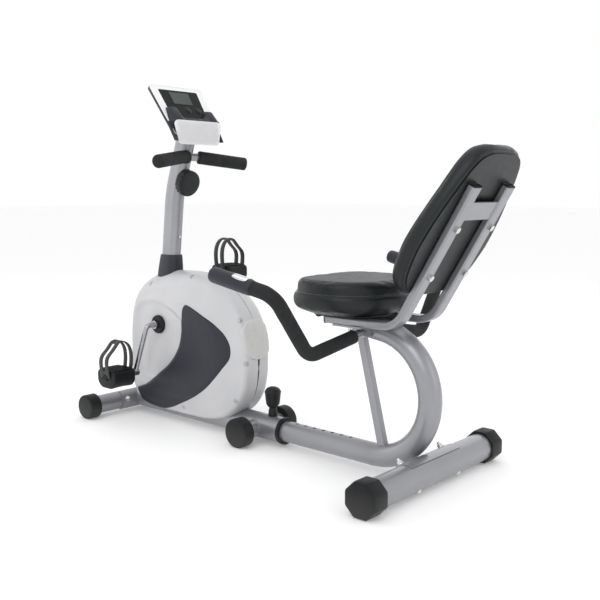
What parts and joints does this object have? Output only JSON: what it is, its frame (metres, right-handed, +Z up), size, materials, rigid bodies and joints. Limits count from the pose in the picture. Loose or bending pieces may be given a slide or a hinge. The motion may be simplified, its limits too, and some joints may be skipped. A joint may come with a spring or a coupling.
{
  "type": "recumbent exercise bike",
  "caption": "Recumbent exercise bike with a shrouded magnetic flywheel drive, bent-arm cranks, a console mast, and a seat carriage that slides in a locking sleeve.",
  "frame": {"origin": "on the floor, below the middle of the object's bounding box", "axes": "+X forward to the console, +Y to the rider's left, +Z up"},
  "size_m": [1.4194, 0.7888, 1.0765],
  "materials": {
    "painted_frame": "satin metallic silver enamel",
    "cap_plastic": "fine satin",
    "bolt_steel": "bright zinc",
    "charcoal_plastic": "satin",
    "shroud_plastic": "semi-gloss white",
    "cover_plastic": "satin",
    "pearl_plastic": "pearl",
    "screw_steel": "dull",
    "console_dark": "satin",
    "console_light": "semi-gloss",
    "window_gloss": "gloss",
    "board": "matte",
    "rest_plastic": "satin, ribbed",
    "key_plastic": "gloss",
    "bar_steel": "satin silver",
    "foam": "closed-cell foam",
    "dial_plastic": "satin",
    "polished_steel": "polished dark chrome",
    "bearing_steel": "machined",
    "pulley_plastic": "matte",
    "pedal_plastic": "textured",
    "strap_rubber": "satin",
    "belt_rubber": "matte",
    "flywheel_iron": "machined and painted",
    "knob_plastic": "gloss",
    "seat_vinyl": "smooth vinyl",
    "housing_plastic": "satin",
    "pulse_chrome": "polished"
  },
  "bodies": {
    "front_frame": {"front_stabiliser": "painted_frame", "front_caps": "cap_plastic", "front_bolts": "bolt_steel", "main_frame": "painted_frame", "sleeve_bush": "cap_plastic", "mid_stabiliser": "painted_frame", "mid_caps": "cap_plastic", "mast": "painted_frame", "mast_bolts": "bolt_steel", "mast_boot": "charcoal_plastic", "shroud_left": "shroud_plastic", "shroud_right": "shroud_plastic", "cover_left": "cover_plastic", "cover_right": "cover_plastic", "shroud_rear_cap": "pearl_plastic", "shroud_screws": "screw_steel", "console_back": "console_dark", "console_face": "console_light", "console_window": "window_gloss", "circuit_board": "board", "reading_rest": "rest_plastic", "upper_bar": "bar_steel", "upper_grips": "foam", "tension_housing": "dial_plastic", "crank_bearings": "bearing_steel", "flywheel_axle": "bearing_steel", "idler_arm": "bearing_steel", "drive_belt": "belt_rubber", "lock_housing": "knob_plastic"},
    "crank": {"crank_axle": "polished_steel", "drive_pulley": "pulley_plastic", "crank_arm_left": "polished_steel", "crank_arm_right": "polished_steel", "crank_covers": "cap_plastic", "pedal_spindles": "polished_steel"},
    "left_pedal": {"pedal_left": "pedal_plastic", "strap_left": "strap_rubber"},
    "right_pedal": {"pedal_right": "pedal_plastic", "strap_right": "strap_rubber"},
    "flywheel_body": {"flywheel": "flywheel_iron"},
    "idler": {"idler_wheel": "pulley_plastic"},
    "dial": {"tension_dial": "dial_plastic"},
    "magnets": {"magnet_bracket": "bearing_steel"},
    "lock_pin": {"lock_knob": "knob_plastic"},
    "left_key": {"button_left": "key_plastic"},
    "right_key": {"button_right": "key_plastic"},
    "carriage": {"rear_frame": "painted_frame", "strut": "painted_frame", "rear_stabiliser": "painted_frame", "rear_caps": "cap_plastic", "rear_bolts": "bolt_steel", "seat_frame": "painted_frame", "seat_bracket": "painted_frame", "seat_cushion": "seat_vinyl", "back_cushion": "seat_vinyl", "back_bolts": "bolt_steel", "side_bar": "bar_steel", "side_grips": "foam", "pulse_housings": "housing_plastic", "pulse_plates": "pulse_chrome"}
  },
  "joints": [
    {"name": "seat_slide", "type": "slide", "parent": "front_frame", "child": "carriage", "axis": [1, 0, 0], "range_m": [-0.066, 0.231]},
    {"name": "lock_pull", "type": "slide", "parent": "front_frame", "child": "lock_pin", "axis": [0, 0, 1], "range_m": [0, 0.012], "stiffness_N_per_m": 900, "springref_m": -0.008},
    {"name": "crank_turn", "type": "hinge", "parent": "front_frame", "child": "crank", "pos_m": [0.47, 0, 0.321], "axis": [0, 1, 0], "continuous": true},
    {"name": "left_pedal_turn", "type": "hinge", "parent": "crank", "child": "left_pedal", "pos_m": [0.53582, 0.19, 0.16209], "axis": [0, 1, 0], "continuous": true},
    {"name": "right_pedal_turn", "type": "hinge", "parent": "crank", "child": "right_pedal", "pos_m": [0.40418, -0.19, 0.47991], "axis": [0, 1, 0], "continuous": true},
    {"name": "flywheel_turn", "type": "hinge", "parent": "front_frame", "child": "flywheel_body", "pos_m": [0.25, 0, 0.214], "axis": [0, 1, 0], "continuous": true},
    {"name": "idler_turn", "type": "hinge", "parent": "front_frame", "child": "idler", "pos_m": [0.3761, -0.032, 0.17683], "axis": [0, 1, 0], "continuous": true},
    {"name": "dial_turn", "type": "hinge", "parent": "front_frame", "child": "dial", "pos_m": [0.4393, 0, 0.79], "axis": [-0.9537, 0, -0.3007], "range_deg": [0, 270]},
    {"name": "magnet_swing", "type": "hinge", "parent": "front_frame", "child": "magnets", "pos_m": [0.16627, 0, 0.32117], "axis": [0, -1, 0], "range_deg": [0, 8.2]},
    {"name": "left_key_press", "type": "slide", "parent": "front_frame", "child": "left_key", "axis": [0.8241, 0, -0.5664], "range_m": [0, 0.0015], "stiffness_N_per_m": 400, "springref_m": -0.001},
    {"name": "right_key_press", "type": "slide", "parent": "front_frame", "child": "right_key", "axis": [0.8241, 0, -0.5664], "range_m": [0, 0.0015], "stiffness_N_per_m": 400, "springref_m": -0.001}
  ],
  "couplings": [
    {"joint": "flywheel_turn", "follows": "crank_turn", "ratio": 4.72},
    {"joint": "idler_turn", "follows": "crank_turn", "ratio": -7.375},
    {"joint": "magnet_swing", "follows": "dial_turn", "ratio": 0.03}
  ]
}
